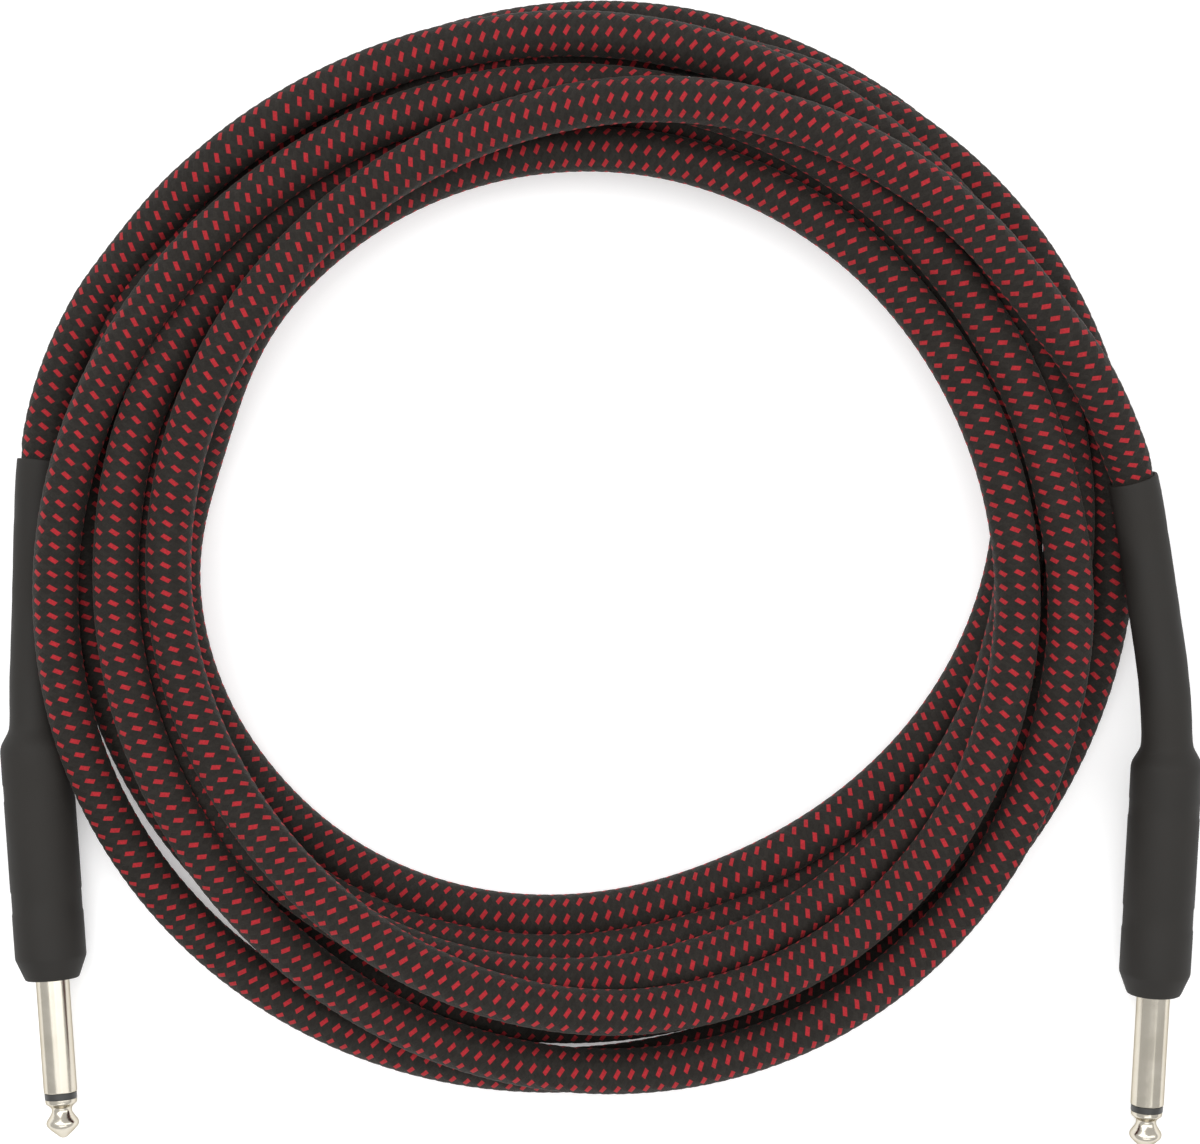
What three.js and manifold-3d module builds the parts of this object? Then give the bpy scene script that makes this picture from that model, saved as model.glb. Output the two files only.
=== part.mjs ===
// Instrument cable: a coiled braided cable with a straight two-pole 6.35 mm plug on each end.
// Millimetres, +Z up. The origin lies on the surface, at the middle of the box round the two plugs.
// Each plug is described by the distance s along its own axis, counted from the front face of its
// boot: the tip is at negative s, the barrel and the cable at positive s.
import * as THREE from 'three';
import { mergeVertices } from 'three/addons/utils/BufferGeometryUtils.js';
import Module from 'manifold-3d';

const wasm = await Module();
wasm.setup();

// ---- driving dimensions ----
const SIDES = 16;                 // segments round every turned plug piece
const GAP = 0.3;                  // clearance between neighbouring pieces
const CABLE_R = 4.3;              // braided cable, free
const CABLE_R_SQUEEZED = 3.95;    // inside the boot
const JACKET_R = 3.7;             // bare jacket inside the barrel
const SHANK_R = 3.175;            // 6.35 mm plug
const SHANK_LENGTH = 21.5;
const INSULATOR_LENGTH = 1.5;
const TIP_LENGTH = 7.5;
const BOOT_R = 6.8;
const BOOT_FACE_R = 5.1;
const BOOT_OPENING_R = SHANK_R + 0.325;
const BOOT_CONE = 4.3;
const BOOT_SHOULDER = 44.5;
const BOOT_TUBE_START = 48;
const BOOT_TUBE_R = 4.8;
const BOOT_LENGTH = 99.5;
const BOOT_WALL = 0.4;
const AXIS_LEAD_IN = 12;          // the cable's curve starts this far before the plug's axis ends
const PIVOT_S = BOOT_LENGTH + 20; // where the cable bends when a plug is swung
const SHELL_R = 6.1;
const SHELL_WALL = 0.6;
const ROD_R = 1.2;
const ROD_END = 16;
const CABLE_START = 34;           // the cable's cut end inside the barrel
const COIL_CENTRE = [-3.4, 50.2];
const ORIGIN_SHIFT = [0.14, 0.58, 0]; // brings the origin to the middle of the plugs' box
const COIL_TURNS = 44;            // segments round the coil's solid

// ---- materials, one per kind of finish ----
const finish = (color, roughness, metalness) =>
  new THREE.MeshStandardMaterial({ color, roughness, metalness });
const braidMaterial = () => finish(0x2a2725, 0.85, 0);
const bootMaterial = () => finish(0x3a3a38, 0.6, 0);
const plugMaterial = () => finish(0xcac5b6, 0.2, 1);
const insulatorMaterial = () => finish(0x2b2b2b, 0.5, 0);
const brassMaterial = () => finish(0xb08d4a, 0.35, 1);
const linerMaterial = () => finish(0xd9d7cf, 0.6, 0);
const copperMaterial = () => finish(0xb8734a, 0.35, 1);
const solderMaterial = () => finish(0xb9babc, 0.3, 1);

const group = new THREE.Group();

// ---- helpers ----
function signedVolume(geometry) {
  const at = geometry.getAttribute('position');
  const index = geometry.getIndex();
  const [a, b, c] = [new THREE.Vector3(), new THREE.Vector3(), new THREE.Vector3()];
  let sum = 0;
  for (let i = 0; i < index.count; i += 3) {
    a.fromBufferAttribute(at, index.getX(i));
    b.fromBufferAttribute(at, index.getX(i + 1));
    c.fromBufferAttribute(at, index.getX(i + 2));
    sum += a.dot(b.cross(c)) / 6;
  }
  return sum;
}

// Merges shared corners, drops slivers without area and turns all faces outwards.
function closed(geometry) {
  const bare = geometry.clone();
  bare.deleteAttribute('normal');
  bare.deleteAttribute('uv');
  const merged = mergeVertices(bare, 1e-5);
  const old = merged.getIndex().array;
  const kept = [];
  for (let i = 0; i < old.length; i += 3) {
    const [p, q, r] = [old[i], old[i + 1], old[i + 2]];
    if (p !== q && q !== r && r !== p) kept.push(p, q, r);
  }
  merged.setIndex(kept);
  if (signedVolume(merged) < 0) {
    for (let i = 0; i < kept.length; i += 3) [kept[i + 1], kept[i + 2]] = [kept[i + 2], kept[i + 1]];
    merged.setIndex(kept);
  }
  merged.computeVertexNormals();
  return merged;
}

function solid(geometry) {
  const mesh = closed(geometry);
  return new wasm.Manifold(new wasm.Mesh({
    numProp: 3,
    vertProperties: new Float32Array(mesh.getAttribute('position').array),
    triVerts: new Uint32Array(mesh.getIndex().array),
  }));
}

function geometryOf(manifold) {
  const mesh = manifold.getMesh();
  const geometry = new THREE.BufferGeometry();
  geometry.setAttribute('position', new THREE.BufferAttribute(new Float32Array(mesh.vertProperties), 3));
  geometry.setIndex(Array.from(mesh.triVerts));
  return geometry;
}

function turned(profile) {
  return new THREE.LatheGeometry(profile.map(([r, s]) => new THREE.Vector2(r, s)), SIDES);
}

// A ring-shaped profile: an outline that closes on itself.
const turnedRing = (profile) => turned([...profile, profile[0]]);

// A plate of the given outline in the x-s plane, lying between two heights.
function plate(shape, low, high) {
  const geometry = new THREE.ExtrudeGeometry(shape, { depth: high - low, bevelEnabled: false });
  return geometry.translate(0, 0, low);
}

function rectangle(x0, s0, x1, s1) {
  const shape = new THREE.Shape();
  shape.moveTo(x0, s0).lineTo(x1, s0).lineTo(x1, s1).lineTo(x0, s1).closePath();
  return shape;
}

function add(name, geometry, material) {
  const mesh = new THREE.Mesh(closed(geometry), material);
  mesh.name = name;
  group.add(mesh);
}

// ---- a plug's route: straight along its axis, then along the cable ----
class PlugRoute {
  constructor(front, forward, cablePoints) {
    this.front = front;
    this.back = forward.clone().normalize().negate();
    this.straight = BOOT_SHOULDER;
    const start = front.clone().addScaledVector(this.back, this.straight);
    const lead = front.clone().addScaledVector(this.back, this.straight - AXIS_LEAD_IN);
    const points = [lead, start, ...cablePoints.map((p) => new THREE.Vector3(...p))];
    this.curve = new THREE.CatmullRomCurve3(points, false, 'centripetal');
    this.curve.arcLengthDivisions = 600;
    this.offset = this.straight - AXIS_LEAD_IN;
    this.length = this.offset + this.curve.getLength();
  }

  pointAt(s) {
    if (s <= this.straight) return this.front.clone().addScaledVector(this.back, s);
    return this.curve.getPointAt(Math.min(1, (s - this.offset) / (this.length - this.offset)));
  }

  tangentAt(s) {
    if (s <= this.straight) return this.back.clone();
    return this.curve.getTangentAt(Math.min(1, (s - this.offset) / (this.length - this.offset)));
  }

  // Carries a piece built round the y axis (y = s) onto the route.
  carry(geometry) {
    const at = geometry.getAttribute('position');
    const up = new THREE.Vector3(0, 0, 1);
    for (let i = 0; i < at.count; i += 1) {
      const [x, s, z] = [at.getX(i), at.getY(i), at.getZ(i)];
      const along = this.tangentAt(s);
      const side = new THREE.Vector3().crossVectors(along, up).normalize();
      const lift = new THREE.Vector3().crossVectors(side, along);
      const place = this.pointAt(s).addScaledVector(side, x).addScaledVector(lift, z);
      at.setXYZ(i, place.x, place.y, place.z);
    }
    return geometry;
  }
}

// ---- the plug's pieces, each round the y axis ----
const INSULATOR_S = -SHANK_LENGTH - INSULATOR_LENGTH;
const THREAD_R = 4.4;
const THREAD_START = 1.15;
const THREAD_END = 10;
const NECK_R = 3.4;
const NECK_END = 12;
const BORE_R = 2.1;

function tipContact() {
  const s = INSULATOR_S - GAP;
  return turned([
    [0, INSULATOR_S - TIP_LENGTH], [0.9, s - 6.85], [2.1, s - 5.8], [2.9, s - 4.9], [3.1, s - 4.4],
    [2.9, s - 3.7], [2.1, s - 2.6], [1.9, s - 1.8], [2.15, s - 1.2], [2.95, s - 0.5], [3.0, s],
    [ROD_R, s], [ROD_R, ROD_END], [0, ROD_END],
  ]);
}

function tipInsulator() {
  return turnedRing([
    [ROD_R + GAP, INSULATOR_S], [3.1, INSULATOR_S], [3.1, -SHANK_LENGTH - GAP],
    [BORE_R - GAP, -SHANK_LENGTH - GAP], [BORE_R - GAP, NECK_END + GAP], [ROD_R + GAP, NECK_END + GAP],
  ]);
}

function sleeveContact() {
  return turnedRing([
    [BORE_R, -SHANK_LENGTH], [SHANK_R - 0.15, -SHANK_LENGTH], [SHANK_R, -SHANK_LENGTH + 0.3],
    [SHANK_R, THREAD_START], [THREAD_R, THREAD_START], [THREAD_R, THREAD_END],
    [NECK_R, THREAD_END], [NECK_R, NECK_END], [BORE_R, NECK_END],
  ]);
}

function terminalWasher() {
  const s = NECK_END + 2 * GAP;
  return turnedRing([[ROD_R + GAP, s], [NECK_R, s], [NECK_R, s + 1], [ROD_R + GAP, s + 1]]);
}

const LUG_TOP = -0.75;
const STRIP_TOP = -3.75;
const PLATE_THICKNESS = 0.6;

function tipTerminal() {
  const shape = rectangle(-1.5, ROD_END + GAP, 1.5, 24);
  const hole = new THREE.Path();
  hole.absarc(0, 22.6, 0.6, 0, 2 * Math.PI, true);
  shape.holes.push(hole);
  return plate(shape, LUG_TOP - PLATE_THICKNESS, LUG_TOP);
}

// A ring round the sleeve's neck, a strip along the barrel and a claw under the cable, in one piece.
function groundTerminal() {
  const ringR = [NECK_R + GAP, THREAD_R];
  const ring = turnedRing([
    [ringR[0], THREAD_END + GAP], [ringR[1], THREAD_END + GAP],
    [ringR[1], THREAD_END + 1.6], [ringR[0], THREAD_END + 1.6],
  ]);
  const strip = plate(rectangle(-1.5, THREAD_END + GAP, 1.5, 40), STRIP_TOP - PLATE_THICKNESS, STRIP_TOP);
  const claw = new THREE.Shape();
  const [low, high] = [200, 340].map(THREE.MathUtils.degToRad);
  claw.absarc(0, 0, 4.6, low, high, false);
  claw.absarc(0, 0, JACKET_R + GAP, high, low, true);
  claw.closePath();
  const clawSolid = new THREE.ExtrudeGeometry(claw, { depth: 4, bevelEnabled: false, curveSegments: 8 });
  clawSolid.rotateX(Math.PI / 2).translate(0, 40, 0);
  return geometryOf(solid(ring).add(solid(strip)).add(solid(clawSolid)));
}

function barrelShell() {
  const inside = SHELL_R - SHELL_WALL;
  return turnedRing([
    [THREAD_R + 0.35, 1.1], [SHELL_R, 4.9], [SHELL_R, 43.2], [4.9, 46.2], [4.4, 46.2],
    [inside, 42.8], [inside, THREAD_END + 0.5], [THREAD_R + 0.35, THREAD_END + 0.5],
  ]);
}

function liner() {
  const outside = SHELL_R - SHELL_WALL - GAP;
  return turnedRing([[outside - 0.3, 14], [outside, 14], [outside, 41], [outside - 0.3, 41]]);
}

// Where the boot's tube and the cable inside it have a ring of corners, so that they bend alike.
const TUBE_STEPS = [56, 65, 74, 83, 92, BOOT_LENGTH];

function boot() {
  const bore = CABLE_R_SQUEEZED + 0.3;
  const inside = SHELL_R + GAP;
  const outer = TUBE_STEPS.map((s) => [BOOT_TUBE_R, s]);
  const inner = TUBE_STEPS.map((s) => [bore, s]).reverse();
  return turnedRing([
    [BOOT_OPENING_R, 0], [BOOT_FACE_R, 0], [BOOT_R, BOOT_CONE], [BOOT_R, BOOT_SHOULDER],
    [BOOT_TUBE_R, BOOT_TUBE_START], ...outer, ...inner,
    [bore, BOOT_TUBE_START + 0.8], [inside, 45], [inside, 4.6],
    [BOOT_FACE_R - 0.2, 2 * BOOT_WALL], [BOOT_OPENING_R, 2 * BOOT_WALL],
  ]);
}

// The cable inside the boot and out to the bend, where it ends round like a ball joint.
function cableEnd() {
  const squeezed = [BOOT_TUBE_START + 0.8, ...TUBE_STEPS].map((s) => [CABLE_R_SQUEEZED, s]);
  const free = [101.5, 107, 113, PIVOT_S].map((s) => [CABLE_R, s]);
  const round = [30, 60].map(THREE.MathUtils.degToRad)
    .map((a) => [CABLE_R * Math.cos(a), PIVOT_S + CABLE_R * Math.sin(a)]);
  return turned([
    [0, CABLE_START], [JACKET_R, CABLE_START], [JACKET_R, 47], ...squeezed, ...free, ...round,
    [0, PIVOT_S + CABLE_R],
  ]);
}

function wire(radius, from, to, height) {
  const geometry = turned([[0, from], [radius, from], [radius, to], [0, to]]);
  return geometry.translate(0, 0, height);
}

function dielectric() {
  const end = CABLE_START - GAP;
  return turnedRing([[0.75, 26], [1.7, 26], [1.7, end], [0.75, end]]);
}

function solderDrop(s, height) {
  const dome = new THREE.LatheGeometry(
    [[0, 0], [1.1, 0], [0.95, 0.5], [0.55, 0.95], [0, 1.1]].map(([r, h]) => new THREE.Vector2(r, h)), 12);
  return dome.rotateX(Math.PI / 2).translate(0, s, height);
}

function addPlug(side, route) {
  const piece = (name, geometry, material) => add(`${side}_${name}`, route.carry(geometry), material);
  piece('tip_contact', tipContact(), plugMaterial());
  piece('tip_insulator', tipInsulator(), insulatorMaterial());
  piece('sleeve_contact', sleeveContact(), plugMaterial());
  piece('terminal_washer', terminalWasher(), insulatorMaterial());
  piece('tip_terminal', tipTerminal(), brassMaterial());
  piece('ground_terminal', groundTerminal(), brassMaterial());
  piece('barrel_shell', barrelShell(), brassMaterial());
  piece('barrel_liner', liner(), linerMaterial());
  piece('boot', boot(), bootMaterial());
  piece('cable_end', cableEnd(), braidMaterial());
  piece('centre_conductor', wire(0.45, 21.2, CABLE_START - GAP, 0), copperMaterial());
  piece('core_insulation', dielectric(), linerMaterial());
  piece('shield_drain', wire(0.6, 24, CABLE_START - GAP, -2.85), copperMaterial());
  piece('tip_solder', solderDrop(19.4, LUG_TOP + GAP), solderMaterial());
  piece('ground_solder', solderDrop(21.8, STRIP_TOP + GAP), solderMaterial());
}

// ---- the cable between the plugs ----
// The points are chosen by hand: from the boot's shoulder, through its tube, then along the cable.
const LEFT_FRONT = new THREE.Vector3(-104.9, -33.9, BOOT_R);
const LEFT_FORWARD = new THREE.Vector3(0.0715, -0.9974, 0);
const LEFT_CABLE = [
  [-108.4, 22, 6.2], [-108.3, 30, 5.4], [-108.1, 40, 4.9], [-107.8, 53, 4.85], [-107.2, 65.3, 4.85],
  [-105.6, 75, 4.6], [-102.4, 85, 4.4], [-97.8, 94.4, 4.4], [-92.0, 103.2, 4.4], [-85.2, 111.2, 4.4],
];
const RIGHT_FRONT = new THREE.Vector3(106.1, -36.8, 6.4);
const RIGHT_FORWARD = new THREE.Vector3(-0.038, -0.9929, -0.1132);
const RIGHT_CABLE = [
  [107.5, 17.2, 12.5], [106.6, 26.2, 13.3], [105.2, 35.1, 14], [103.1, 48, 15.1], [100.5, 61.5, 16.6],
  [96.9, 70.9, 19.4], [92.3, 79.8, 22.3], [86.6, 87.8, 25], [80.3, 94.8, 27],
];

function addLead(name, route) {
  const start = PIVOT_S + CABLE_R + GAP;
  const steps = 6;
  const points = [];
  for (let i = 0; i <= steps; i += 1) {
    points.push(route.pointAt(start + (route.length - start) * (i / steps)));
  }
  const section = new THREE.Shape();
  section.absarc(0, 0, CABLE_R, 0, 2 * Math.PI, false);
  const path = new THREE.CatmullRomCurve3(points, false, 'centripetal');
  const tube = new THREE.ExtrudeGeometry(section, {
    steps, curveSegments: 6, bevelEnabled: false, extrudePath: path,
  });
  add(name, tube, braidMaterial());
}

// A block in the form of a ring sector round the coil's centre, used to make room in the coil.
function sector(innerR, low, high, fromDegrees, toDegrees) {
  const [from, to] = [fromDegrees, toDegrees].map(THREE.MathUtils.degToRad);
  const shape = new THREE.Shape();
  shape.absarc(0, 0, 125, from, to, false);
  shape.absarc(0, 0, innerR, to, from, true);
  shape.closePath();
  const depth = high - low;
  return solid(new THREE.ExtrudeGeometry(shape, { depth, bevelEnabled: false }).translate(0, 0, low));
}

// The coil's outer shape: a heap up to three cables deep, with room for both boots and leads.
function coil() {
  const profile = [
    [70, 0], [103.5, 0], [107, 4], [107, 9], [104.5, 14], [98, 21], [90, 22.5], [80, 20],
    [71, 14], [66, 8], [66, 4], [70, 0],
  ].map(([r, z]) => new THREE.Vector2(r, z));
  const ring = new THREE.LatheGeometry(profile, COIL_TURNS).rotateX(Math.PI / 2);
  const shape = solid(ring)
    .subtract(sector(97, -1, 10.2, 140, 205))    // left lead and boot tube, under the outer turn
    .subtract(sector(102.5, -1, 15, 190, 215))     // left barrel
    .subtract(sector(99, 7.8, 30, -30, 14))        // right boot tube, over the outer turn
    .subtract(sector(90.5, 11, 30, 8, 30));       // right lead, on top of the coil
  return geometryOf(shape).translate(COIL_CENTRE[0], COIL_CENTRE[1], 0);
}

const leftRoute = new PlugRoute(LEFT_FRONT, LEFT_FORWARD, LEFT_CABLE);
const rightRoute = new PlugRoute(RIGHT_FRONT, RIGHT_FORWARD, RIGHT_CABLE);
addPlug('left', leftRoute);
addPlug('right', rightRoute);
addLead('left_lead', leftRoute);
addLead('right_lead', rightRoute);
add('cable_coil', coil(), braidMaterial());
group.position.set(...ORIGIN_SHIFT);

export default group;
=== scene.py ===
"""Instrument cable: a coil of braided cable with a straight 6.35 mm plug on each end.

Lengths in the tables are millimetres; MM turns them into the frame's metres.
"""
import math

import bpy
import numpy as np
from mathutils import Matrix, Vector


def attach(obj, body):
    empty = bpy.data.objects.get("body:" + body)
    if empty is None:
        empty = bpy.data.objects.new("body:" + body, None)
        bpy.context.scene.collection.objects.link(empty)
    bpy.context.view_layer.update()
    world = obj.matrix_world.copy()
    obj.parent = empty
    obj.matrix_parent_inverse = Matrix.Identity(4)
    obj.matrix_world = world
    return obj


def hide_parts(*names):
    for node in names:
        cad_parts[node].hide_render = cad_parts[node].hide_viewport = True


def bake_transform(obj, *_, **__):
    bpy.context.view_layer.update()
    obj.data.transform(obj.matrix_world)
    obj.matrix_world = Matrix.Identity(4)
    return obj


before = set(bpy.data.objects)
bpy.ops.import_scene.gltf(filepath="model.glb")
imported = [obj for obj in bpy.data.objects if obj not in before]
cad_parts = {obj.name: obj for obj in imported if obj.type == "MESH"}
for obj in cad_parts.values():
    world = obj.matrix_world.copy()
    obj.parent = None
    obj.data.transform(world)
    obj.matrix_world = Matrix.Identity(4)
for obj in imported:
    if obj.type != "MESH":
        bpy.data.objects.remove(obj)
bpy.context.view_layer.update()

MM = 0.001
CABLE_R = 4.3            # free
SQUEEZED_R = 3.95        # inside a boot
SHANK_R = 3.175
BOOT_R = 6.8
BOOT_TUBE_R = 4.8
BOOT_SHOULDER = 44.5     # distances along a plug, from its boot's front face
BOOT_LENGTH = 99.5
PIVOT_S = BOOT_LENGTH + 20          # a place on each plug's cable, a little past its boot
AXIS_LEAD_IN = 12        # the cable's curve starts this far before the plug's straight axis ends
SHANK_LENGTH = 21.5
SLEEVE_S = -SHANK_LENGTH - 0.25     # the sleeve's front edge
INSULATOR_S = -SHANK_LENGTH - 1.5   # ... and the ring's in front of it
CABLE_FROM = 80          # the braid shown starts here in each boot, as a distance along the plug
LEAD_TO = 144            # ... and a lead's own piece ends here
LEFT_JOIN_S = PIVOT_S + 18    # the left lead meets the coil here ...
RIGHT_JOIN_S = PIVOT_S + 14   # ... and the right one here
BEND_FROM_S = BOOT_LENGTH + 1.5    # the stretch of cable just behind a boot lies between these two places
BEND_TO_S = PIVOT_S + 18.5
ROUTE_STEP = 0.5
JACKET_R = 3.7
JACKET_FROM = 34
JACKET_TO = 83

# ---------------------------------------------------------------- camera

VIEW_WIDTH = 229.9       # what the picture's width takes in, at the plugs' height
VIEW_CENTRE = (0.14, 44.6)
CAMERA_HEIGHT = 650.0
PLUG_HEIGHT = 6.8
SENSOR = 36.0


def make_camera():
    data = bpy.data.cameras.new("camera")
    data.sensor_width = SENSOR
    data.lens = SENSOR * (CAMERA_HEIGHT - PLUG_HEIGHT) / VIEW_WIDTH
    camera = bpy.data.objects.new("camera", data)
    camera.location = (VIEW_CENTRE[0] * MM, VIEW_CENTRE[1] * MM, CAMERA_HEIGHT * MM)
    bpy.context.scene.collection.objects.link(camera)
    bpy.context.scene.camera = camera


# ---------------------------------------------------------------- the cable's route

SHIFT = np.array([0.14, 0.58, 0.0])       # the same shift of origin as in the CAD
LEFT_FRONT = np.array([-104.9, -33.9, BOOT_R])
LEFT_FORWARD = np.array([0.0715, -0.9974, 0])
LEFT_CABLE = [
    (-108.4, 22, 6.2), (-108.3, 30, 5.4), (-108.1, 40, 4.9), (-107.8, 53, 4.85), (-107.2, 65.3, 4.85),
    (-105.6, 75, 4.6), (-102.4, 85, 4.4), (-97.8, 94.4, 4.4), (-92.0, 103.2, 4.4), (-85.2, 111.2, 4.4),
]
RIGHT_FRONT = np.array([106.1, -36.8, 6.4])
RIGHT_FORWARD = np.array([-0.038, -0.9929, -0.1132])
RIGHT_CABLE = [
    (107.5, 17.2, 12.5), (106.6, 26.2, 13.3), (105.2, 35.1, 14), (103.1, 48, 15.1), (100.5, 61.5, 16.6),
    (96.9, 70.9, 19.4), (92.3, 79.8, 22.3), (86.6, 87.8, 25), (80.3, 94.8, 27),
]

# The coil. Each turn wanders in and out as it goes round, so it has a radius at 8, 11, 2 and 5 o'clock,
# as seen from the camera, and the layer that it lies in there: 0 is on the floor. settled_coil works
# out the turns between these quarters. Hours count clockwise from 9 o'clock, where the first is 0.
COIL_CENTRE = np.array([-4.3, 48.9])
TURN_RADII = [
    (108, 100, 97, 90), (93, 98, 101, 77), (84, 91, 104, 98), (103, 90, 90, 102),
    (91, 84, 86, 82), (84, 76, 88, 70), (77, 76, 80, 91), (80, 79, 100, 110),
]
TURN_LAYERS = [
    (0, 0.8, 1.3, 0), (0, 0, 0, 0), (0, 0, 0.6, 0), (0.6, 1.5, 1.3, 1),
    (1.5, 0.2, 0.8, 1), (1, 0, 0, 0), (0, 1, 1.8, 1.4), (1.7, 2, 3, 3),
]
QUARTER = 3              # hours
QUARTERS_FROM = -1       # 8 o'clock, in hours
LAYER_RISE = 7.6         # from one layer to the next, a little less than the cable's thickness
STEPS = 72               # stations in a turn, for the settling
SWEEPS = 700             # rounds of settling
END_STATIONS = 12        # stations at each end that may be tied to a lead
HOLD_HOURS = 0.05        # how near a lead's point has to be to tie a station to it
STIFF_UPWARD = 0.22      # how much a station follows its neighbours' height in one round ...
STIFF_SIDEWAYS = 0.10    # ... and their radius
DROP = 0.05              # how far everything sinks in one round
PULL_TO_PLACE = 0.08     # how much a station returns to the radius asked for
SPREAD = 0.25            # how much of an overlap two turns side by side give way
BOOT_HOURS = 0.12        # how near a station has to be to the boot to be lifted by it
LAST_SMOOTHING = 2
SIDE_BY_SIDE = 0.35      # turns whose layers differ by less than this push each other sideways
BOOT_GAP = 0.1
FIRST_HOUR = 0.85        # the first turn starts at the left lead's end ...
LAST_HOUR = 7 * 12 + 5.4    # ... and the last one ends at the right lead's
GAP_OF_TURNS = 2 * CABLE_R - 0.15


def smooth_curve(points, step):
    """A centripetal Catmull-Rom curve through the points, cut into even steps."""
    points = np.asarray(points, float)
    ends = [2 * points[0] - points[1], 2 * points[-1] - points[-2]]
    knots = np.vstack([ends[0], points, ends[1]])
    pieces = []
    for i in range(len(points) - 1):
        p = knots[i:i + 4]
        t = np.concatenate([[0], np.cumsum(np.sqrt(np.linalg.norm(np.diff(p, axis=0), axis=1)))])
        x = np.linspace(t[1], t[2], 40, endpoint=False)[:, None]
        a = [((t[k + 1] - x) * p[k] + (x - t[k]) * p[k + 1]) / (t[k + 1] - t[k]) for k in range(3)]
        b = [((t[k + 2] - x) * a[k] + (x - t[k]) * a[k + 1]) / (t[k + 2] - t[k]) for k in range(2)]
        pieces.append(((t[2] - x) * b[0] + (x - t[1]) * b[1]) / (t[2] - t[1]))
    line = np.vstack(pieces + [points[-1:]])
    return even(line, step)


def even(line, step):
    """The same line with points a step apart."""
    run = np.concatenate([[0], np.cumsum(np.linalg.norm(np.diff(line, axis=0), axis=1))])
    count = max(2, int(round(run[-1] / step)) + 1)
    at = np.linspace(0, run[-1], count)
    return np.column_stack([np.interp(at, run, line[:, i]) for i in range(line.shape[1])])


def smoothed(values, passes):
    for _ in range(passes):
        inner = (values[:-2] + 2 * values[1:-1] + values[2:]) / 4
        values = np.concatenate([values[:1], inner, values[-1:]])
    return values


def through(values, at):
    """The smooth curve through evenly spaced values, read at the places at."""
    slope = np.gradient(values.astype(float))
    i = np.clip(at.astype(int), 0, len(values) - 2)
    x = at - i
    rise = values[i + 1] - values[i]
    bend = (slope[i] - rise) * (1 - x) - (slope[i + 1] - rise) * x
    return values[i] + rise * x + bend * x * (1 - x)


def polar(points):
    """Hour from 9 o'clock clockwise, radius and height of points about the coil's centre."""
    flat = points[:, :2] - COIL_CENTRE
    hour = (np.degrees(np.arctan2(flat[:, 1], -flat[:, 0])) / 30) % 12
    return hour, np.linalg.norm(flat, axis=1), points[:, 2]


def plug_line(front, forward, cable):
    """A plug's axis and the cable behind it, from the boot's front face."""
    back = -forward / np.linalg.norm(forward)
    axis = [front, front + back * (BOOT_SHOULDER - AXIS_LEAD_IN), front + back * BOOT_SHOULDER]
    return smooth_curve(np.array(axis + [np.array(p, float) for p in cable]) + SHIFT, ROUTE_STEP)


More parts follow.
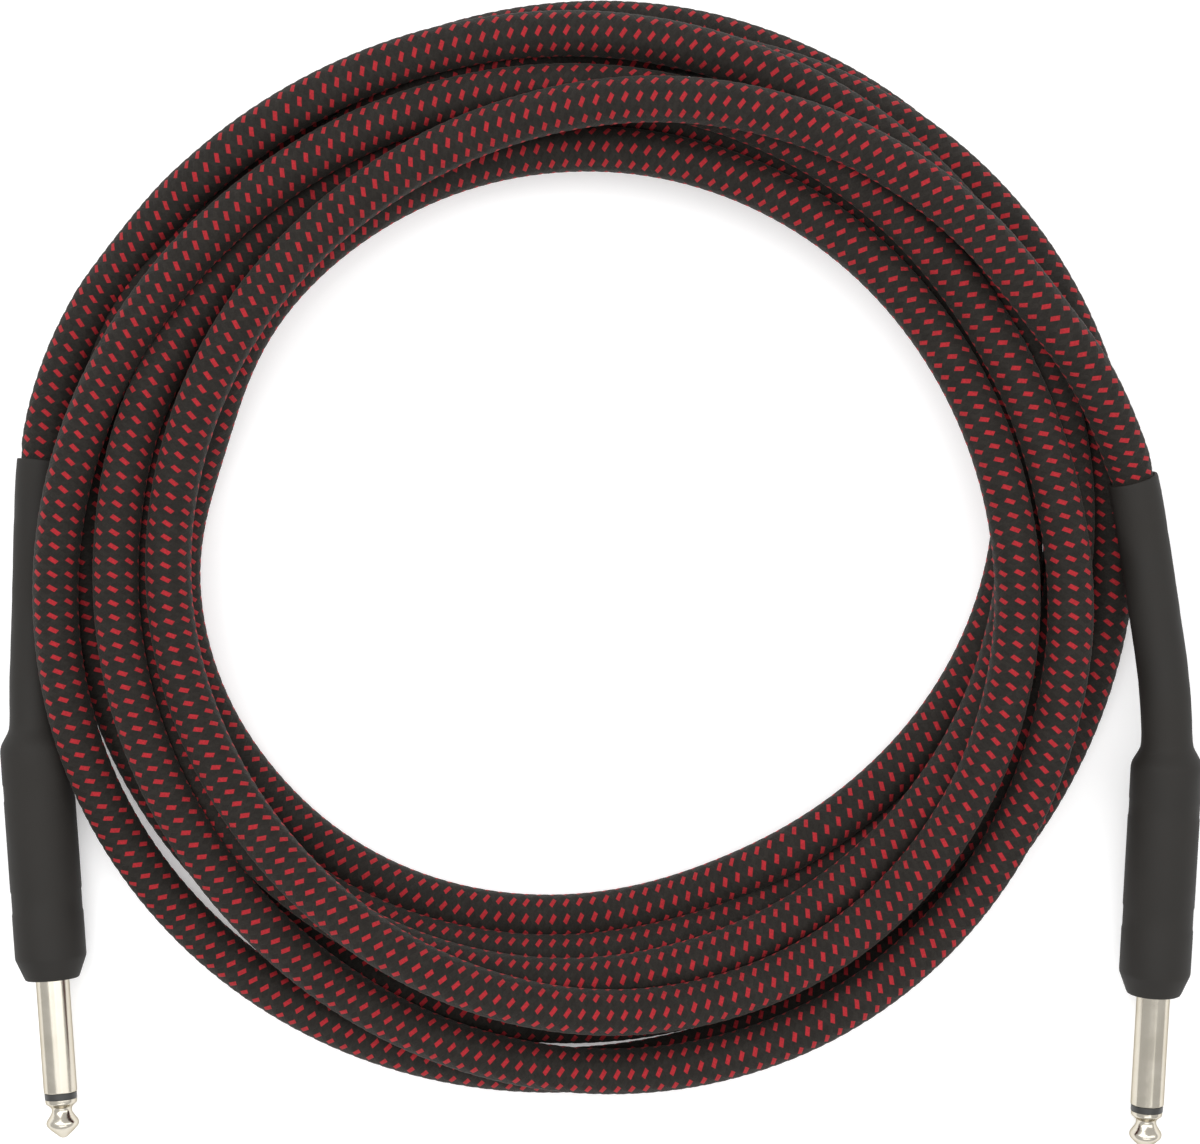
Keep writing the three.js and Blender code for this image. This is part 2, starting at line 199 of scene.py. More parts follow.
def settled_coil(left_line, right_line):
    """Lays the turns on the floor and on each other, and returns the coil's centreline."""
    station = np.arange(int(FIRST_HOUR / 12 * STEPS), int(LAST_HOUR / 12 * STEPS) + 1)
    at = station * 12 / STEPS
    quarter = (at - QUARTERS_FROM) / QUARTER
    layer = through(np.ravel(TURN_LAYERS), quarter)
    seen = through(np.ravel(TURN_RADII), quarter)
    height = CABLE_R + LAYER_RISE * layer

    def true_radius(z):
        return seen * (CAMERA_HEIGHT - z) / (CAMERA_HEIGHT - PLUG_HEIGHT)

    radius = true_radius(height)
    # where a lead passes over a station at either end, the station is tied to it
    held = []
    count = len(at)
    ends = ((left_line, range(END_STATIONS)), (right_line, range(count - END_STATIONS, count)))
    for line, stations in ends:
        hour, r, z = polar(line)
        for i in stations:
            k = np.argmin(np.abs(hour - at[i] % 12))
            if abs(hour[k] - at[i] % 12) < HOLD_HOURS:
                held.append((i, r[k], z[k]))
    # the left boot is a round obstacle; the right one lies on top and takes no part
    run = np.linspace(0, ROUTE_STEP * (len(left_line) - 1), len(left_line))
    in_boot = run <= BOOT_LENGTH
    boot_size = np.where(run < BOOT_SHOULDER + 2, BOOT_R, BOOT_TUBE_R)[in_boot]
    boot_hour, boot_radius, boot_height = (values[in_boot] for values in polar(left_line))
    near = np.abs(((at[:, None] - boot_hour[None, :]) + 6) % 12 - 6)
    nearest = near.argmin(axis=1)
    beside_boot = (near.min(axis=1) < BOOT_HOURS) & (at > 2)    # past the lead itself
    reach = CABLE_R + boot_size[nearest] + BOOT_GAP

    rank = layer.copy()
    for _ in range(SWEEPS):
        height[1:-1] += STIFF_UPWARD * (height[:-2] + height[2:] - 2 * height[1:-1])
        height -= DROP
        radius += PULL_TO_PLACE * (true_radius(height) - radius)
        radius[1:-1] += STIFF_SIDEWAYS * (radius[:-2] + radius[2:] - 2 * radius[1:-1])
        for turns in range(1, 8):
            a = np.arange(0, count - turns * STEPS)
            b = a + turns * STEPS
            dr, dz = radius[b] - radius[a], height[b] - height[a]
            above = np.where(rank[b] >= rank[a], 1.0, -1.0)
            close = np.abs(dr) < GAP_OF_TURNS
            need = np.sqrt(np.maximum(GAP_OF_TURNS ** 2 - dr ** 2, 0)) * above
            short = np.where(above > 0, np.maximum(need - dz, 0), np.minimum(need - dz, 0))
            short = np.where(close, short, 0)
            level = np.abs(rank[b] - rank[a]) < SIDE_BY_SIDE
            push = np.where(level & close & (np.hypot(dr, dz) < GAP_OF_TURNS), 1.0, 0.0)
            spread = push * (GAP_OF_TURNS - np.hypot(dr, dz)) * np.sign(dr + 1e-9) * SPREAD
            np.add.at(radius, a, -spread)
            np.add.at(radius, b, spread)
            np.add.at(height, a, np.where(short > 0, -0.15, -0.35) * short * 0.5)
            np.add.at(height, b, np.where(short > 0, 0.35, 0.15) * short)
        dr = radius - boot_radius[nearest]
        need = boot_height[nearest] + np.sqrt(np.maximum(reach ** 2 - dr ** 2, 0))
        height += 0.5 * np.where(beside_boot & (np.abs(dr) < reach), np.maximum(need - height, 0), 0)
        height = np.maximum(height, CABLE_R)
        for i, r, z in held:
            radius[i], height[i] = r, z
    radius, height = smoothed(radius, LAST_SMOOTHING), smoothed(height, LAST_SMOOTHING)
    angle = np.radians(at * 30)
    flat = COIL_CENTRE + np.column_stack([-np.cos(angle), np.sin(angle)]) * radius[:, None]
    return np.column_stack([flat, height])


def whole_route():
    """One line from inside the left boot, round the coil, to inside the right boot."""
    left = plug_line(LEFT_FRONT, LEFT_FORWARD, LEFT_CABLE)
    right = plug_line(RIGHT_FRONT, RIGHT_FORWARD, RIGHT_CABLE)
    coil = settled_coil(left, right)
    first = int(CABLE_FROM / ROUTE_STEP)
    left_part = left[first:int(LEFT_JOIN_S / ROUTE_STEP)]
    right_part = right[first:int(RIGHT_JOIN_S / ROUTE_STEP)][::-1]
    near = np.linalg.norm(coil[:END_STATIONS] - left_part[-1], axis=1).argmin()
    far = np.linalg.norm(coil[-END_STATIONS:] - right_part[0], axis=1).argmin()
    far += len(coil) - END_STATIONS
    knots = np.vstack([left_part[::12], coil[near + 2:far - 1], right_part[::12], right_part[-1:]])
    return left, right, smooth_curve(knots, ROUTE_STEP)


# ---------------------------------------------------------------- tubes and turned pieces along a line

class Line:
    """A centreline in millimetres with its directions, for carrying rings along it."""

    def __init__(self, points, start=0.0):
        self.points = np.asarray(points, float)
        gaps = np.linalg.norm(np.diff(self.points, axis=0), axis=1)
        self.run = start + np.concatenate([[0], np.cumsum(gaps)])
        along = np.gradient(self.points, axis=0)
        self.along = along / np.linalg.norm(along, axis=1)[:, None]

    def at(self, s):
        """Points, sideways directions and lifting directions at the distances s."""
        s = np.atleast_1d(s).astype(float)
        inside = np.clip(s, self.run[0], self.run[-1])
        place = np.column_stack([np.interp(inside, self.run, self.points[:, i]) for i in range(3)])
        along = np.column_stack([np.interp(inside, self.run, self.along[:, i]) for i in range(3)])
        along /= np.linalg.norm(along, axis=1)[:, None]
        place += along * (s - inside)[:, None]
        side = np.cross(along, (0, 0, 1.0))
        side /= np.linalg.norm(side, axis=1)[:, None]
        return place, side, np.cross(side, along)


def mesh_object(name, vertices, faces, uv):
    mesh = bpy.data.meshes.new(name)
    count = len(faces)
    mesh.vertices.add(len(vertices))
    mesh.vertices.foreach_set("co", (np.asarray(vertices) * MM).astype(np.float32).ravel())
    sizes = np.full(count, faces.shape[1])
    mesh.loops.add(faces.size)
    mesh.loops.foreach_set("vertex_index", faces.astype(np.int32).ravel())
    mesh.polygons.add(count)
    mesh.polygons.foreach_set("loop_start", (np.cumsum(sizes) - sizes).astype(np.int32))
    mesh.polygons.foreach_set("use_smooth", np.full(count, True))
    layer = mesh.uv_layers.new(name="along_and_round")
    layer.data.foreach_set("uv", uv.astype(np.float32).ravel())
    mesh.update(calc_edges=True)
    mesh.validate()
    obj = bpy.data.objects.new(name, mesh)
    bpy.context.scene.collection.objects.link(obj)
    return obj


def ring_faces(rings, sides, closed=False):
    """Quads between neighbouring rings, facing out when the rings run along +s."""
    last = rings if closed else rings - 1
    i, j = np.meshgrid(np.arange(last), np.arange(sides), indexing="ij")
    i, j = i.ravel(), j.ravel()
    up, next_j = (i + 1) % rings, (j + 1) % sides
    return np.column_stack([i * sides + j, i * sides + next_j, up * sides + next_j, up * sides + j]), i, j


def round_vertices(line, s, radius, sides):
    """Vertices of rings at the distances s; radius has one value a ring, or one a vertex."""
    place, side, lift = line.at(s)
    angle = np.arange(sides) * 2 * math.pi / sides
    radius = np.broadcast_to(np.asarray(radius, float).reshape(len(s), -1), (len(s), sides))
    out = side[:, None, :] * np.cos(angle)[None, :, None] + lift[:, None, :] * np.sin(angle)[None, :, None]
    return (place[:, None, :] + out * radius[:, :, None]).reshape(-1, 3)


def turned(name, line, profile, sides=72):
    """A piece turned round the line. The profile closes on itself, or runs from axis to axis."""
    s = np.array([p[1] for p in profile], float)
    r = np.array([p[0] for p in profile], float)
    tiny = 1e-4
    from_axis = r[0] < tiny and r[-1] < tiny
    if not from_axis:
        faces, _, _ = ring_faces(len(s), sides, closed=True)
        vertices = round_vertices(line, s, r, sides)
        return finish_turned(name, vertices, faces)
    vertices = round_vertices(line, s[1:-1], r[1:-1], sides)
    faces, _, _ = ring_faces(len(s) - 2, sides)
    ends, _, _ = line.at([s[0], s[-1]])
    vertices = np.vstack([vertices, ends])
    first, last = len(vertices) - 2, len(vertices) - 1
    top = (len(s) - 3) * sides
    j = np.arange(sides)
    next_j = (j + 1) % sides
    cap0 = np.column_stack([np.full(sides, first), next_j, j])
    cap1 = np.column_stack([np.full(sides, last), top + j, top + next_j])
    return finish_turned(name, vertices, faces, np.vstack([cap0, cap1]))


def finish_turned(name, vertices, quads, triangles=None):
    polygons = [tuple(q) for q in quads.tolist()]
    if triangles is not None:
        polygons += [tuple(t) for t in triangles.tolist()]
    mesh = bpy.data.meshes.new(name)
    mesh.from_pydata([tuple(v) for v in (vertices * MM).tolist()], [], polygons)
    mesh.validate()
    mesh.update()
    obj = bpy.data.objects.new(name, mesh)
    bpy.context.scene.collection.objects.link(obj)
    face_out(obj)
    mesh.shade_smooth()
    mesh.set_sharp_from_angle(angle=math.radians(35))
    return obj


def face_out(obj):
    """Turns the faces out if the mesh is inside out."""
    mesh = obj.data
    co = np.zeros(len(mesh.vertices) * 3)
    mesh.vertices.foreach_get("co", co)
    co = co.reshape(-1, 3)
    mesh.calc_loop_triangles()
    tri = np.zeros(len(mesh.loop_triangles) * 3, int)
    mesh.loop_triangles.foreach_get("vertices", tri)
    a, b, c = co[tri[0::3]], co[tri[1::3]], co[tri[2::3]]
    if np.einsum("ij,ij->i", a, np.cross(b, c)).sum() < 0:
        mesh.flip_normals()


# ---------------------------------------------------------------- the braid

PITCH = 2.65             # from one red float to the next, along the cable
ROWS = 8                 # rows of red floats round the cable
ROW_GAP = 2 * math.pi * CABLE_R / ROWS
FLOAT_HALF = 1.0         # half of a float's long side
END_HALF = 0.49          # half of its end
FLOAT_ANGLE = math.radians(62)      # between its long side and the cable's axis
END_ANGLE = math.radians(-45)       # the yarn that crosses it cuts its end at this angle
RELIEF = 0.15
BRAID_SIDES = 48
BRAID_STEP = PITCH / 5
# Four floats in each cell, as (share of the pitch, share of the row gap, lean); the first is red.
FLOATS = ((0, 0, 1), (0.5, 0.5, 1), (0.5, 0, -1), (0, 0.5, -1))


def float_axes():
    """Turns a place in millimetres (along, round) into shares of the float's long side and end."""
    a = np.array([math.cos(FLOAT_ANGLE), math.sin(FLOAT_ANGLE)]) * FLOAT_HALF
    b = np.array([math.cos(END_ANGLE), math.sin(END_ANGLE)]) * END_HALF
    return np.linalg.inv(np.column_stack([a, b]))


def braid_relief(s, angle):
    """Height of the floats, from 0 between them to 1 on their crowns."""
    turn = float_axes()
    height = np.zeros(np.broadcast(s, angle).shape)
    for share_s, share_v, lean in FLOATS:
        x = ((s / PITCH - share_s + 0.5) % 1 - 0.5) * PITCH
        y = ((angle * CABLE_R / ROW_GAP - share_v + 0.5) % 1 - 0.5) * ROW_GAP * lean
        a = turn[0, 0] * x + turn[0, 1] * y
        b = turn[1, 0] * x + turn[1, 1] * y
        crown = 1 - (a / 1.35) ** 2 - (b / 1.35) ** 2
        height = np.maximum(height, np.sqrt(np.clip(crown, 0, 1)))
    return height


def braided_tube(name, line, first, last):
    """The braided cable from one distance to another, open at its hidden ends."""
    s = np.arange(round(first / BRAID_STEP), round(last / BRAID_STEP) + 1) * BRAID_STEP
    angle = np.arange(BRAID_SIDES) * 2 * math.pi / BRAID_SIDES
    base = cable_radius(s, line.run[-1] - (BOOT_LENGTH - CABLE_FROM))
    relief = braid_relief(s[:, None], angle[None, :])
    radius = base[:, None] + RELIEF * (relief - 0.6)
    vertices = round_vertices(line, s, radius, BRAID_SIDES)
    faces, i, j = ring_faces(len(s), BRAID_SIDES)
    u = s / PITCH
    corner_u = np.column_stack([u[i], u[i], u[i + 1], u[i + 1]])
    v = j * (ROWS / BRAID_SIDES)
    step = ROWS / BRAID_SIDES
    corner_v = np.column_stack([v, v + step, v + step, v])
    obj = mesh_object(name, vertices, faces, np.stack([corner_u, corner_v], axis=-1))
    face_out_tube(obj)
    return obj


def face_out_tube(obj):
    """An open tube's faces are tested on its first quad, from the ring's own centre."""
    mesh = obj.data
    polygon = mesh.polygons[0]
    ring = np.array([mesh.vertices[k].co for k in range(BRAID_SIDES)])
    outward = np.array(polygon.center) - ring.mean(axis=0)
    if float(np.dot(outward, np.array(polygon.normal))) < 0:
        mesh.flip_normals()


def cable_radius(s, right_mouth):
    """Squeezed where the boots hold it, free between them."""
    rise_left = np.clip((s - BOOT_LENGTH) / 4, 0, 1)
    rise_right = np.clip((right_mouth - s) / 4, 0, 1)
    free = np.minimum(rise_left, rise_right)
    return SQUEEZED_R + (CABLE_R - SQUEEZED_R) * free * free * (3 - 2 * free)


# ---------------------------------------------------------------- materials

def new_material(name, **sockets):
    material = bpy.data.materials.new(name)
    material.use_nodes = True
    shader = material.node_tree.nodes["Principled BSDF"]
    for key, value in sockets.items():
        shader.inputs[key.replace("_", " ")].default_value = value
    return material, material.node_tree, shader


class Maker:
    """Short ways to add nodes to one material."""

    def __init__(self, tree):
        self.nodes, self.links = tree.nodes, tree.links

    def math(self, operation, a, b=None, c=None):
        node = self.nodes.new("ShaderNodeMath")
        node.operation = operation
        for socket, value in zip(node.inputs, (a, b, c)):
            self.feed(socket, value)
        return node.outputs[0]

    def feed(self, socket, value):
        if value is None:
            return
        if isinstance(value, bpy.types.NodeSocket):
            self.links.new(value, socket)
        else:
            socket.default_value = value

    def noise(self, vector, scale, detail=2.0, roughness=0.5):
        node = self.nodes.new("ShaderNodeTexNoise")
        self.feed(node.inputs["Vector"], vector)
        node.inputs["Scale"].default_value = scale
        node.inputs["Detail"].default_value = detail
        node.inputs["Roughness"].default_value = roughness
        return node.outputs["Fac"]

    def mix(self, factor, a, b):
        node = self.nodes.new("ShaderNodeMix")
        node.data_type = "RGBA"
        self.feed(node.inputs["Factor"], factor)
        self.feed(node.inputs[6], a)
        self.feed(node.inputs[7], b)
        return node.outputs[2]

    def ramp(self, factor, low, high, to_low=0.0, to_high=1.0):
        node = self.nodes.new("ShaderNodeMapRange")
        node.interpolation_type = "SMOOTHSTEP"
        for socket, value in zip(node.inputs, (factor, low, high, to_low, to_high)):
            self.feed(socket, value)
        return node.outputs[0]

    def bump(self, height, strength, distance):
        node = self.nodes.new("ShaderNodeBump")
        node.inputs["Strength"].default_value = strength
        node.inputs["Distance"].default_value = distance
        self.feed(node.inputs["Height"], height)
        return node.outputs[0]

    def place(self):
        return self.nodes.new("ShaderNodeTexCoord").outputs["Object"]


YARN_PLIES = 4           # plies seen across one float
# Black in two copies, also mixed by a random mottle: painted shade between floats, painted light on crowns.
BLACK_YARN = (0.0085, 0.0068, 0.0055, 1)
BLACK_YARN_LIT = (0.0195, 0.0162, 0.0134, 1)
RED_YARN = (0.38, 0.0175, 0.025, 1)
RED_YARN_DARK = (0.27, 0.011, 0.0155, 1)


def braid_material():
    """Black nylon braid; one float in four is red. Everything follows the mesh's own coordinates."""
    material, tree, shader = new_material(
        "braid", Roughness=0.8, Specular_IOR_Level=0.22, Sheen_Weight=0.06, Sheen_Roughness=0.5)
    shader.inputs["Sheen Tint"].default_value = (0.7, 0.66, 0.6, 1)
    make = Maker(tree)
    uv = make.nodes.new("ShaderNodeUVMap")
    uv.uv_map = "along_and_round"
    split = make.nodes.new("ShaderNodeSeparateXYZ")
    make.links.new(uv.outputs[0], split.inputs[0])
    turn = float_axes()

    def float_field(share_u, share_v, lean):
        """Shares of the long side and the end at the nearest float of one kind, and where it shows."""
        u = make.math("SUBTRACT", make.math("FRACT", make.math("ADD", split.outputs[0], 0.5 - share_u)), 0.5)
        v = make.math("SUBTRACT", make.math("FRACT", make.math("ADD", split.outputs[1], 0.5 - share_v)), 0.5)
        x = make.math("MULTIPLY", u, PITCH)
        y = make.math("MULTIPLY", v, ROW_GAP * lean)
        a = make.math("ADD", make.math("MULTIPLY", x, turn[0, 0]), make.math("MULTIPLY", y, turn[0, 1]))
        b = make.math("ADD", make.math("MULTIPLY", x, turn[1, 0]), make.math("MULTIPLY", y, turn[1, 1]))
        side = make.ramp(make.math("ABSOLUTE", a), 0.82, 0.94, 1, 0)
        end = make.ramp(make.math("ABSOLUTE", b), 0.78, 0.98, 1, 0)
        return b, make.math("MULTIPLY", side, end)

    shown, yarns = [], []
    for share_u, share_v, lean in FLOATS:
        across, shows = float_field(share_u, share_v, lean)
        ply = make.math("SINE", make.math("MULTIPLY", across, YARN_PLIES * math.pi))
        yarns.append(make.math("MULTIPLY", make.math("ADD", ply, 3.0), shows))
        shown.append(shows)
    red = shown[0]
    fibres, covered = yarns[0], shown[0]
    for more_yarn, more_shown in zip(yarns[1:], shown[1:]):
        fibres = make.math("MAXIMUM", fibres, more_yarn)
        covered = make.math("MAXIMUM", covered, more_shown)

    place = make.place()
    mottle = make.noise(place, 260, 3, 0.6)
    fuzz = make.noise(place, 2600, 2, 0.6)
    # painted shade: the black is darker in the gaps between floats and lighter on their crowns; a random
    # mottle varies it too
    painted_shade_and_mottle = make.math("MULTIPLY", make.ramp(covered, 0, 1, 0.55, 1), make.ramp(mottle, 0.3, 0.75, 0.4, 1))
    black = make.mix(painted_shade_and_mottle, BLACK_YARN, BLACK_YARN_LIT)
    red_colour = make.mix(make.ramp(fuzz, 0.3, 0.7), RED_YARN_DARK, RED_YARN)
    colour = make.mix(red, black, red_colour)
    make.links.new(colour, shader.inputs["Base Color"])
    height = make.math("ADD", make.math("MULTIPLY", fibres, 0.25), make.math("MULTIPLY", fuzz, 0.35))
    make.links.new(make.bump(height, 0.55, 0.00012), shader.inputs["Normal"])
    make.links.new(make.ramp(fuzz, 0.2, 0.8, 0.7, 0.9), shader.inputs["Roughness"])
    return material


def boot_material():
    """Matt heat-shrink: fine grain, slight cloudiness."""
    material, tree, shader = new_material("boot_shrink", Roughness=0.7, Specular_IOR_Level=0.28)
    make = Maker(tree)
    place = make.place()
    cloud = make.noise(place, 70, 3, 0.55)
    grain = make.noise(place, 3200, 2, 0.7)
    colour = make.mix(make.ramp(cloud, 0.3, 0.7), (0.0155, 0.0140, 0.0122, 1), (0.0200, 0.0180, 0.0158, 1))
    make.links.new(colour, shader.inputs["Base Color"])
    make.links.new(make.ramp(cloud, 0.25, 0.75, 0.62, 0.78), shader.inputs["Roughness"])
    make.links.new(make.bump(grain, 0.12, 0.00008), shader.inputs["Normal"])
    return material


def metal_material(name, dark, light, roughness, streak=900):
    """Turned or plated metal: faint turning marks and a little wear in the gloss."""
    material, tree, shader = new_material(name, Metallic=1.0, Roughness=roughness)
    shader.inputs["Specular Tint"].default_value = tuple(0.8 * c for c in dark[:3]) + (1,)
    make = Maker(tree)
    place = make.place()
    marks = make.noise(place, streak, 2, 0.5)
    wear = make.noise(place, 160, 3, 0.6)
    make.links.new(make.mix(make.ramp(wear, 0.3, 0.75), dark, light), shader.inputs["Base Color"])
    make.links.new(make.ramp(wear, 0.2, 0.9, roughness * 0.85, roughness * 1.3), shader.inputs["Roughness"])
    make.links.new(make.bump(marks, 0.02, 0.00001), shader.inputs["Normal"])
    return material


def plastic_material(name, dark, light, roughness):
    material, tree, shader = new_material(name, Roughness=roughness)
    make = Maker(tree)
    place = make.place()
    cloud = make.noise(place, 220, 3, 0.6)
    make.links.new(make.mix(make.ramp(cloud, 0.3, 0.7), dark, light), shader.inputs["Base Color"])
    make.links.new(make.ramp(cloud, 0.2, 0.8, roughness * 0.85, roughness * 1.2), shader.inputs["Roughness"])
    make.links.new(make.bump(make.noise(place, 2400), 0.06, 0.00004), shader.inputs["Normal"])
    return material


def paint(obj, material):
    obj.data.materials.clear()
    obj.data.materials.append(material)


# ---------------------------------------------------------------- the plugs

def boot_profile():
    """One length of heat-shrink: it shows faint steps where the barrel under it changes."""
    outer = [
        (3.5, 0.12), (3.7, 0), (4.85, 0), (5.1, 0.12), (5.28, 0.45), (6.55, 3.6), (6.72, 4.0), (6.8, 4.5),
        (6.8, 8), (6.8, 12.6), (6.68, 13.1), (6.68, 16.8), (6.8, 17.3), (6.8, 25), (6.8, 34.3), (6.7, 34.8),
        (6.7, 37.4), (6.8, 37.9), (6.8, 43.7), (6.74, 44.4), (6.5, 45.2), (6.0, 46.1), (5.35, 47.2),
        (5.0, 48.0), (4.86, 49.0),
    ]
    steps = np.linspace(51, BOOT_LENGTH - 1, 25)
    outer += [(BOOT_TUBE_R + 0.03 * math.sin(s * 0.9) * math.sin(s * 0.23), s) for s in steps]
    outer += [(4.8, BOOT_LENGTH - 0.25), (4.72, BOOT_LENGTH), (4.3, BOOT_LENGTH), (4.05, BOOT_LENGTH - 0.25)]
    inner = [(4.05, s) for s in np.linspace(BOOT_LENGTH - 2, 50, 20)]
    inner += [(6.35, 45), (6.35, 4.7), (4.95, 0.95), (3.5, 0.8)]
    return outer + inner


def tip_profile():
    """The pointed ball with the waist behind it that the socket's spring drops into."""
    cone = [(0.0, -30.5), (0.4, -30.46), (0.72, -30.3), (0.9, -30.15), (2.1, -29.1), (2.7, -28.5)]
    ball = [(2.95, -28.2), (3.08, -27.85), (3.1, -27.6), (3.05, -27.3), (2.9, -27.0)]
    waist = [(2.5, -26.45), (2.15, -25.95), (1.95, -25.5), (1.9, -25.1), (1.96, -24.8), (2.15, -24.5)]
    collar = [(2.55, -24.15), (2.85, -23.92), (2.97, -23.75), (3.0, -23.5), (3.0, INSULATOR_S - 0.05)]
    rod = [(1.2, INSULATOR_S - 0.05), (1.2, 16), (0.0, 16)]
    return cone + ball + waist + collar + rod


def insulator_profile():
    return [
        (1.5, INSULATOR_S), (3.0, INSULATOR_S), (3.08, INSULATOR_S + 0.08), (3.08, SLEEVE_S - 0.1),
        (3.0, SLEEVE_S - 0.04), (1.8, SLEEVE_S - 0.04), (1.8, 12.3), (1.5, 12.3),
    ]


def sleeve_profile():
    thread = []
    for turn in range(14):
        s = 2.2 + turn * 0.55
        thread += [(4.38, s), (4.12, s + 0.275)]
    return [
        (2.1, SLEEVE_S), (3.05, SLEEVE_S), (SHANK_R, SLEEVE_S + 0.15), (SHANK_R, -12), (SHANK_R, -4),
        (SHANK_R, 1.15), (4.4, 1.15), (4.4, 2.0), *thread, (4.4, 10), (3.4, 10), (3.4, 12), (2.1, 12),
    ]


def jacket_profile():
    outside = [(JACKET_R, s) for s in (JACKET_FROM, 47, JACKET_TO)]
    return [(0.0, JACKET_FROM)] + outside + [(0.0, JACKET_TO)]


def make_plug(side, line, materials):
    """Smooth pieces that stand for the CAD's faceted ones, riding with their plug."""
    body = side + "_plug"
    made = []
    for part, profile, material, slot in (
        ("tip", tip_profile(), "plug", "plug_metal"),
        ("ring_insulator", insulator_profile(), "insulator", "insulator"),
        ("sleeve", sleeve_profile(), "plug", "plug_metal"),
        ("shrink_boot", boot_profile(), "boot", "boot_shrink"),
        ("jacket", jacket_profile(), "jacket", "boot_shrink"),
    ):
        obj = turned(f"{side}_{part}_shown", line, profile)
        paint(obj, materials[material])
        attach(obj, body)
        made.append(obj)
    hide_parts(side + "_tip_contact")
    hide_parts(side + "_tip_insulator")
    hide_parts(side + "_sleeve_contact")
    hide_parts(side + "_boot")
    return made


INNER_FINISH = {
    "terminal_washer": "insulator", "tip_terminal": "brass", "ground_terminal": "brass",
    "barrel_shell": "brass", "barrel_liner": "liner", "centre_conductor": "copper",
    "core_insulation": "liner", "shield_drain": "copper", "tip_solder": "solder", "ground_solder": "solder",
}


def finish_inner_pieces(materials):
    for side in ("left", "right"):
        for part, finish in INNER_FINISH.items():
            paint(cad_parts[f"{side}_{part}"], materials[finish])


# ---------------------------------------------------------------- stage

FLOOR_HALF = 3.0         # metres


def make_floor():
    mesh = bpy.data.meshes.new("floor")
    corners = [(x * FLOOR_HALF, y * FLOOR_HALF, 0) for x, y in ((-1, -1), (1, -1), (1, 1), (-1, 1))]
    mesh.from_pydata(corners, [], [(0, 1, 2, 3)])
    floor = bpy.data.objects.new("floor", mesh)
    bpy.context.scene.collection.objects.link(floor)
    material, _, shader = new_material("floor", Roughness=0.8, Specular_IOR_Level=0.1)
    shader.inputs["Base Color"].default_value = (0.85, 0.85, 0.85, 1)
    shader.inputs["Emission Color"].default_value = (1, 1, 1, 1)
    shader.inputs["Emission Strength"].default_value = 0.3
    floor.data.materials.append(material)


def area_light(name, place, target, size, power):
    data = bpy.data.lights.new(name, "AREA")
    data.shape = "RECTANGLE"
    data.size, data.size_y = size
    data.energy = power
    light = bpy.data.objects.new(name, data)
    light.location = place
    direction = Vector(target) - Vector(place)
    light.rotation_euler = direction.to_track_quat("-Z", "Y").to_euler()
    bpy.context.scene.collection.objects.link(light)


def make_lights():
    middle = (VIEW_CENTRE[0] * MM, VIEW_CENTRE[1] * MM, 0)
    area_light("key", (-0.45, 0.5, 1.1), middle, (1.2, 1.2), 9)
    area_light("fill", (0.75, 0.1, 0.9), middle, (0.6, 1.2), 3.5)
    area_light("front", (0.1, -0.75, 0.9), middle, (1.0, 0.5), 2.5)
    area_light("overhead", (0.0, 0.05, 1.4), middle, (0.8, 0.8), 2.2)
    world = bpy.data.worlds.new("world")
    world.use_nodes = True
    world.node_tree.nodes["Background"].inputs["Color"].default_value = (1, 1, 1, 1)
    world.node_tree.nodes["Background"].inputs["Strength"].default_value = 0.7
    bpy.context.scene.world = world
    bpy.context.scene.view_settings.view_transform = "Standard"


# ---------------------------------------------------------------- assembly

def points_between(line, first, last):
    """The centreline in metres, every 2 mm."""
    s = np.linspace(first, last, int(round((last - first) / 2)) + 1)
    return [[float(x) for x in p] for p in line.at(s)[0] * MM]


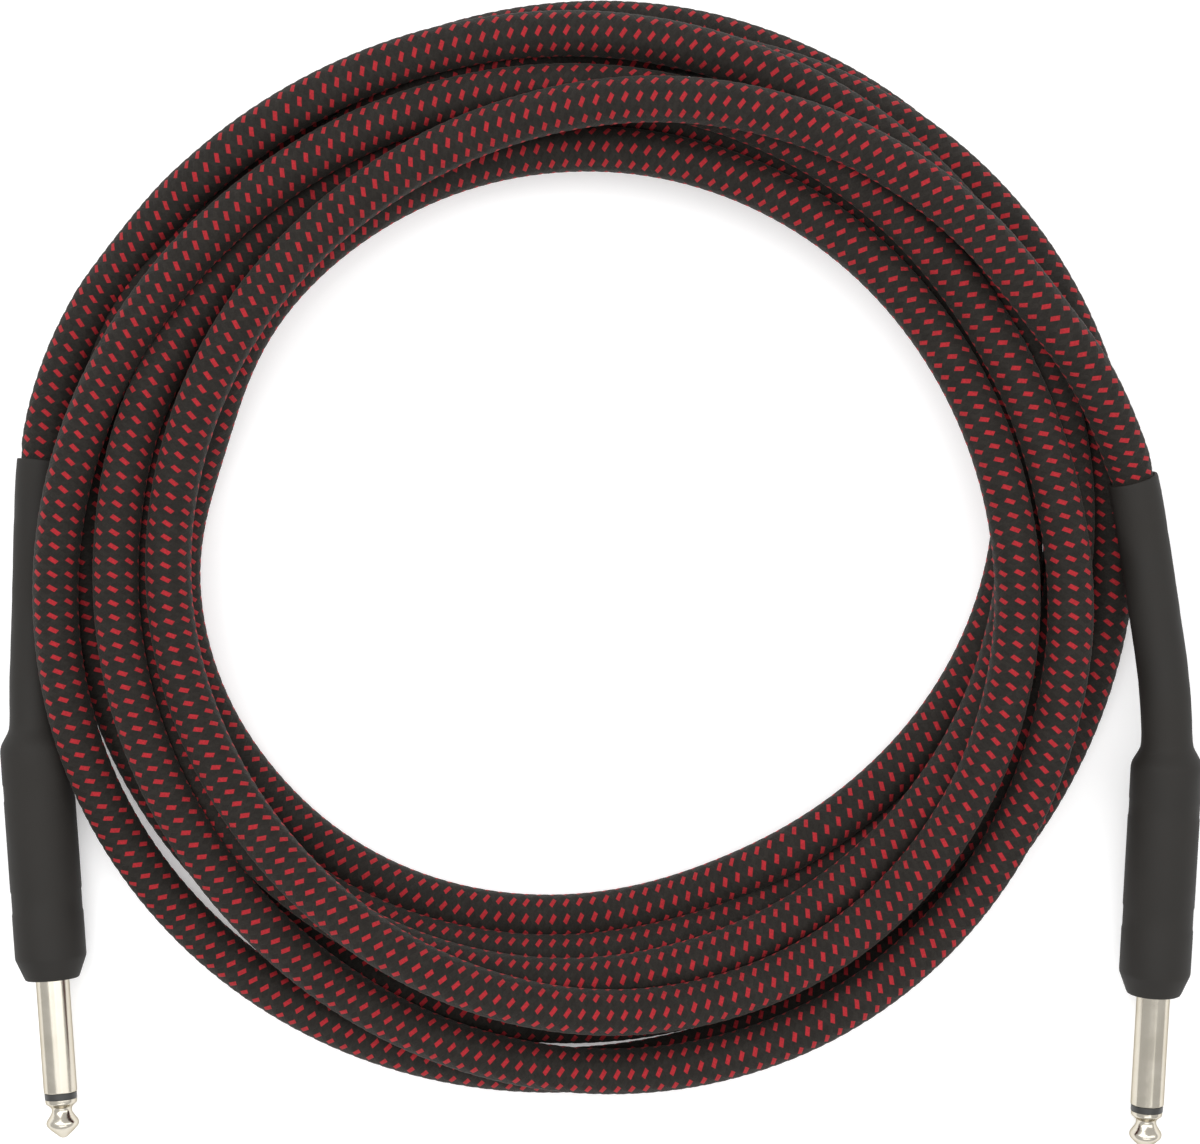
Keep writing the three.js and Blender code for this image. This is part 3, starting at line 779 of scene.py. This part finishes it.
def make_cable(route, material):
    """The whole cable in three pieces: the lead behind each plug, and the turns between."""
    end = route.run[-1]
    lead_steps = round(LEAD_TO / BRAID_STEP)
    far_steps = round((end - (LEAD_TO - CABLE_FROM)) / BRAID_STEP)
    cuts = {
        "cable_left": (CABLE_FROM, lead_steps * BRAID_STEP),
        "cable_turns": (lead_steps * BRAID_STEP, far_steps * BRAID_STEP),
        "cable_right": (far_steps * BRAID_STEP, end),
    }
    made = {}
    for name, (first, last) in cuts.items():
        obj = braided_tube(name, route, first, last)
        paint(obj, material)
        made[name] = obj

    def point(s):
        return tuple(float(x) for x in route.at(s)[0][0] * MM)

    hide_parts("left_lead", "left_cable_end")
    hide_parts("cable_coil")
    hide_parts("right_lead", "right_cable_end")
    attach(made["cable_turns"], "coil")
    from_end = end + CABLE_FROM
    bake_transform(made["cable_left"], "left_plug", "coil", start=point(BEND_FROM_S), end=point(BEND_TO_S))
    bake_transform(made["cable_right"], "right_plug", "coil",
             start=point(from_end - BEND_FROM_S), end=point(from_end - BEND_TO_S))

    exits = {
        "cable_left": (point(BOOT_LENGTH), False),
        "cable_turns": (point(cuts["cable_turns"][0]), False),
        "cable_right": (point(from_end - BOOT_LENGTH), True),
    }
    for name, (leaves, backwards) in exits.items():
        first, last = cuts[name]
        path = points_between(route, first, last)
        if backwards:
            path.reverse()


make_camera()
left_points, right_points, route_points = whole_route()
left_plug = Line(left_points)
right_plug = Line(right_points)
cable_route = Line(route_points, CABLE_FROM)

materials = {
    "boot": boot_material(),
    "jacket": plastic_material("jacket", (0.012, 0.012, 0.012, 1), (0.02, 0.02, 0.02, 1), 0.5),
    "plug": metal_material("plug_metal", (0.56, 0.52, 0.44, 1), (0.62, 0.58, 0.50, 1), 0.18),
    "insulator": plastic_material("insulator", (0.025, 0.025, 0.024, 1), (0.034, 0.034, 0.033, 1), 0.4),
    "brass": metal_material("terminal_brass", (0.58, 0.44, 0.20, 1), (0.70, 0.54, 0.27, 1), 0.3),
    "liner": plastic_material("liner_plastic", (0.55, 0.53, 0.48, 1), (0.62, 0.60, 0.55, 1), 0.45),
    "copper": metal_material("copper", (0.60, 0.28, 0.15, 1), (0.72, 0.36, 0.21, 1), 0.35, 2400),
    "solder": metal_material("solder", (0.48, 0.48, 0.47, 1), (0.60, 0.60, 0.59, 1), 0.3),
}
make_cable(cable_route, braid_material())
make_plug("left", left_plug, materials)
make_plug("right", right_plug, materials)
finish_inner_pieces(materials)
make_floor()
make_lights()
